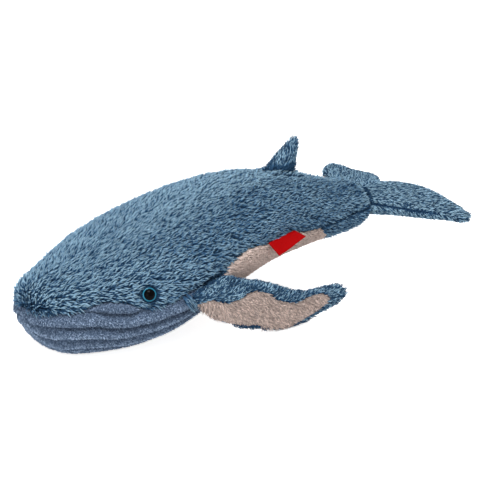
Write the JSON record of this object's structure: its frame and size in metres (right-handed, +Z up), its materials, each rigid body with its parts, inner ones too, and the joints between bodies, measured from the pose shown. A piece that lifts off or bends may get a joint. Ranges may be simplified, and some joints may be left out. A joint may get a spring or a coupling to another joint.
{
  "type": "plush whale",
  "caption": "Long-pile stuffed toy whale with ribbed throat, padded fins and flukes that flap and spring back, and a bare seam label.",
  "frame": {"origin": "middle of the bounding box in X and Y, at the level of the surface that the whale lies on", "axes": "+X from the snout to the tail, +Y to the whale's right side, +Z up"},
  "size_m": [0.4784, 0.224, 0.1552],
  "materials": {
    "blue_fur": "long combed pile, dark at the root and pale at the tip",
    "throat_plush": "short smooth pile with sewn channels",
    "beige_plush": "short brushed pile",
    "filling": "loose polyester fibre",
    "eye_black": "polished",
    "eye_teal": "polished",
    "washer_plastic": "moulded",
    "label_ribbon": "woven satin ribbon"
  },
  "bodies": {
    "body": {"left_side_panel": "blue_fur", "right_side_panel": "blue_fur", "throat_panel": "throat_plush", "belly_panel": "beige_plush", "tail_underside": "blue_fur", "body_stuffing": "filling", "left_eye_pupil": "eye_black", "right_eye_pupil": "eye_black", "left_eye_iris": "eye_teal", "right_eye_iris": "eye_teal", "left_eye_washer": "washer_plastic", "right_eye_washer": "washer_plastic"},
    "left_fin": {"left_fin_outer_cover": "blue_fur", "left_fin_patch": "beige_plush", "left_fin_inner_cover": "blue_fur", "left_fin_wadding": "filling"},
    "right_fin": {"right_fin_outer_cover": "blue_fur", "right_fin_patch": "beige_plush", "right_fin_inner_cover": "blue_fur", "right_fin_wadding": "filling"},
    "flukes": {"flukes_upper_cover": "blue_fur", "flukes_lower_cover": "blue_fur", "left_fluke_wadding": "filling", "right_fluke_wadding": "filling"},
    "back_fin": {"left_back_fin_cover": "blue_fur", "right_back_fin_cover": "blue_fur", "back_fin_wadding": "filling"},
    "label": {"seam_label": "label_ribbon"}
  },
  "joints": [
    {"name": "left_fin_flap", "type": "hinge", "parent": "body", "child": "left_fin", "pos_m": [-0.0711, -0.0811, 0.0687], "axis": [-0.9649, -0.1229, -0.232], "range_deg": [0, 60], "stiffness_Nm_per_rad": 0.3},
    {"name": "right_fin_flap", "type": "hinge", "parent": "body", "child": "right_fin", "pos_m": [-0.0711, 0.0811, 0.0687], "axis": [0.9649, -0.1229, 0.232], "range_deg": [0, 60], "stiffness_Nm_per_rad": 0.3},
    {"name": "fluke_pitch", "type": "hinge", "parent": "body", "child": "flukes", "pos_m": [0.13965, 0, 0.07431], "axis": [0, 1, 0], "range_deg": [-25, 25], "stiffness_Nm_per_rad": 0.3},
    {"name": "back_fin_lean", "type": "hinge", "parent": "body", "child": "back_fin", "pos_m": [0.04027, 0, 0.12877], "axis": [0.9735, 0, -0.2285], "range_deg": [-25, 25], "stiffness_Nm_per_rad": 0.02},
    {"name": "label_flip", "type": "hinge", "parent": "body", "child": "label", "pos_m": [-0.00735, -0.0676, 0.07907], "axis": [0.9692, 0.2438, 0.0349], "range_deg": [-45, 45], "stiffness_Nm_per_rad": 0.002}
  ]
}
